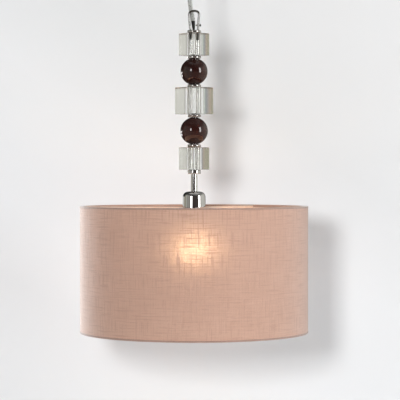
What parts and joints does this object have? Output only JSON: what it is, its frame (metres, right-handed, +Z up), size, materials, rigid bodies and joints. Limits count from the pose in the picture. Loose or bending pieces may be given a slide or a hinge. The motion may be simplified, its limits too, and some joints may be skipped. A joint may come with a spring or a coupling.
{
  "type": "pendant lamp",
  "caption": "Ceiling pendant lamp: a drum shade lit from inside hangs under a column of glass cubes and balls, on a clear cord from a round canopy.",
  "frame": {"origin": "centre of the ceiling plate's upper face, which lies on the ceiling", "axes": "+Z up, out of the ceiling plate's upper face; -Y towards the viewer of the picture; +X to the viewer's right"},
  "size_m": [0.42, 0.42, 0.6983],
  "materials": {
    "polished_chrome": "polished chrome plate",
    "zinc_steel": "zinc plate",
    "black_steel": "black oxide",
    "brass": "plain brass",
    "clear_glass": "clear, polished",
    "brown_glass": "dark brown, polished",
    "opal_glass": "opal, lit",
    "clear_plastic": "clear cord",
    "black_plastic": "black, satin",
    "white_plastic": "white",
    "grey_rubber": "hard rubber",
    "ceramic": "glazed",
    "pink_beige_linen": "slubby linen, lit from inside",
    "shade_liner": "translucent film",
    "lead_cover": "insulated lead"
  },
  "bodies": {
    "ceiling_fitting": {"ceiling_plate": "zinc_steel", "hanger_bridge": "zinc_steel", "bridge_rivet_left": "zinc_steel", "bridge_rivet_right": "zinc_steel", "grip_socket": "polished_chrome", "grip_locknut": "zinc_steel", "grip_cap": "polished_chrome", "ceiling_canopy": "polished_chrome", "terminal_block": "white_plastic", "terminal_screw_1": "brass", "terminal_screw_2": "brass", "terminal_screw_3": "brass", "canopy_lead_1": "lead_cover", "canopy_lead_2": "lead_cover", "canopy_lead_3": "lead_cover"},
    "swivel": {"swivel_ball": "grey_rubber"},
    "stop": {"cord_stop": "brass"},
    "lamp": {"supply_cord": "clear_plastic", "cord_sleeve": "black_plastic", "hanging_loop": "polished_chrome", "loop_clamp_screw": "black_steel", "loop_nipple": "black_steel", "stem_tube": "polished_chrome", "spacer_disc_1": "polished_chrome", "spacer_disc_2": "polished_chrome", "spacer_disc_3": "polished_chrome", "spacer_disc_4": "polished_chrome", "end_collar": "polished_chrome", "cup_nipple": "zinc_steel", "cup_nut": "brass", "lock_washer": "zinc_steel", "stem_lead_1": "lead_cover", "stem_lead_2": "lead_cover", "stem_lead_3": "lead_cover", "holder_cup": "polished_chrome", "holder_insert": "ceramic", "holder_terminal_1": "brass", "holder_terminal_2": "brass", "holder_terminal_3": "brass", "screw_shell": "brass", "centre_contact": "brass", "holder_skirt": "black_plastic"},
    "top_cube": {"glass_cube_top": "clear_glass"},
    "upper_ball": {"glass_ball_upper": "brown_glass"},
    "middle_cube": {"glass_cube_middle": "clear_glass"},
    "lower_ball": {"glass_ball_lower": "brown_glass"},
    "bottom_cube": {"glass_cube_bottom": "clear_glass"},
    "shade": {"shade_spider": "polished_chrome", "shade_bottom_ring": "polished_chrome", "shade_liner": "shade_liner", "shade_fabric": "pink_beige_linen", "shade_top_hem": "pink_beige_linen", "shade_bottom_hem": "pink_beige_linen"},
    "clamp_ring": {"shade_clamp_ring": "black_plastic"},
    "bulb_travel": {"bulb_contact": "zinc_steel"},
    "bulb": {"bulb_insulator": "black_plastic", "bulb_cap": "brass", "bulb_glass": "opal_glass", "bulb_mount": "clear_glass", "bulb_filament": "zinc_steel"}
  },
  "joints": [
    {"name": "swing_sideways", "type": "hinge", "parent": "ceiling_fitting", "child": "swivel", "pos_m": [0, 0, -0.02207], "axis": [0, 1, 0], "range_deg": [-15, 15]},
    {"name": "swing_forwards", "type": "hinge", "parent": "swivel", "child": "stop", "pos_m": [0, 0, -0.02207], "axis": [1, 0, 0], "range_deg": [-15, 15]},
    {"name": "cord_twist", "type": "hinge", "parent": "stop", "child": "lamp", "pos_m": [0, 0, -0.02207], "axis": [0, 0, 1], "range_deg": [-90, 90], "stiffness_Nm_per_rad": 0.01},
    {"name": "top_cube_turn", "type": "hinge", "parent": "lamp", "child": "top_cube", "pos_m": [0, 0, -0.02207], "axis": [0, 0, 1], "continuous": true},
    {"name": "upper_ball_turn", "type": "hinge", "parent": "lamp", "child": "upper_ball", "pos_m": [0, 0, -0.02207], "axis": [0, 0, 1], "continuous": true},
    {"name": "middle_cube_turn", "type": "hinge", "parent": "lamp", "child": "middle_cube", "pos_m": [0, 0, -0.02207], "axis": [0, 0, 1], "continuous": true},
    {"name": "lower_ball_turn", "type": "hinge", "parent": "lamp", "child": "lower_ball", "pos_m": [0, 0, -0.02207], "axis": [0, 0, 1], "continuous": true},
    {"name": "bottom_cube_turn", "type": "hinge", "parent": "lamp", "child": "bottom_cube", "pos_m": [0, 0, -0.02207], "axis": [0, 0, 1], "continuous": true},
    {"name": "shade_lowering", "type": "slide", "parent": "lamp", "child": "shade", "axis": [0, 0, -1], "range_m": [0, 0.01]},
    {"name": "clamp_ring_turn", "type": "hinge", "parent": "shade", "child": "clamp_ring", "pos_m": [0, 0, -0.4717], "axis": [0, 0, -1], "range_deg": [0, 1440]},
    {"name": "bulb_lowering", "type": "slide", "parent": "lamp", "child": "bulb_travel", "axis": [0, 0, -1], "range_m": [0, 0.0181]},
    {"name": "bulb_turn", "type": "hinge", "parent": "bulb_travel", "child": "bulb", "pos_m": [0, 0, -0.4719], "axis": [0, 0, -1], "range_deg": [0, 1800]}
  ],
  "couplings": [
    {"joint": "clamp_ring_turn", "follows": "shade_lowering", "rad_per_m": 2513.3},
    {"joint": "bulb_turn", "follows": "bulb_lowering", "rad_per_m": 1735.7}
  ]
}
